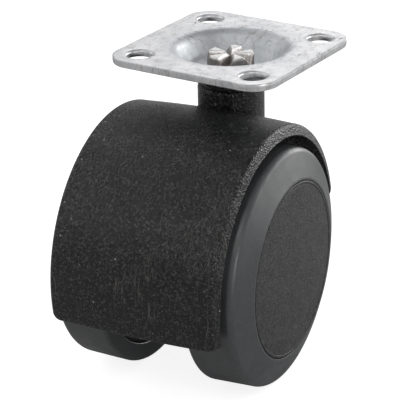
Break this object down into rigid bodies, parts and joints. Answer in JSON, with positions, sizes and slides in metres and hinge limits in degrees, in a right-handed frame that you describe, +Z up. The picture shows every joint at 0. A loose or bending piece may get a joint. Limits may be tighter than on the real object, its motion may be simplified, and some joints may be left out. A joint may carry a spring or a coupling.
{
  "type": "furniture caster",
  "caption": "Hooded twin-wheel furniture caster on a dished square top plate: soft-tread wheels on one axle trail under a curved black hood that swivels on a riveted stem.",
  "frame": {"origin": "centre of the top plate's upper face, on the swivel axis", "axes": "+Z up out of the plate along the swivel axis, X and Y along the plate's edges; the wheels trail towards -X, with the housing turned 5.7 degrees about +Z at rest, and the left wheel is at +Y"},
  "size_m": [0.0665, 0.0474, 0.0642],
  "materials": {
    "zinc_plate": "bright zinc-plated pressed steel with fine scratches",
    "staked_steel": "staked steel, bright on the ridges and darker in the valleys",
    "bright_steel": "turned steel",
    "spring_steel": "oiled black spring steel",
    "hood_nylon": "black fibre-filled nylon with a fine moulded grain",
    "core_nylon": "smooth black nylon",
    "cap_nylon": "dark grey nylon with a fine moulded grain",
    "tread": "slate grey polyurethane with a satin skin",
    "acetal": "natural acetal"
  },
  "bodies": {
    "plate": {"top_plate": "zinc_plate", "swivel_stem": "staked_steel", "stem_thrust_washer": "bright_steel", "stem_snap_ring": "spring_steel"},
    "housing": {"housing": "hood_nylon", "stem_bush": "bright_steel", "axle": "bright_steel", "axle_washer_left": "bright_steel", "axle_washer_right": "bright_steel", "push_nut_left": "spring_steel", "push_nut_right": "spring_steel"},
    "wheel_left": {"wheel_core_left": "core_nylon", "tyre_left": "tread", "hub_cap_left": "cap_nylon", "wheel_bush_left": "acetal"},
    "wheel_right": {"wheel_core_right": "core_nylon", "tyre_right": "tread", "hub_cap_right": "cap_nylon", "wheel_bush_right": "acetal"}
  },
  "joints": [
    {"name": "swivel", "type": "hinge", "parent": "plate", "child": "housing", "pos_m": [0, 0, -0.0077], "axis": [0, 0, 1], "continuous": true},
    {"name": "wheel_left_spin", "type": "hinge", "parent": "housing", "child": "wheel_left", "pos_m": [-0.01834, 0.01355, -0.0393], "axis": [-0.0993, 0.9951, 0], "continuous": true},
    {"name": "wheel_right_spin", "type": "hinge", "parent": "housing", "child": "wheel_right", "pos_m": [-0.0153, -0.0169, -0.0393], "axis": [-0.0993, 0.9951, 0], "continuous": true}
  ]
}
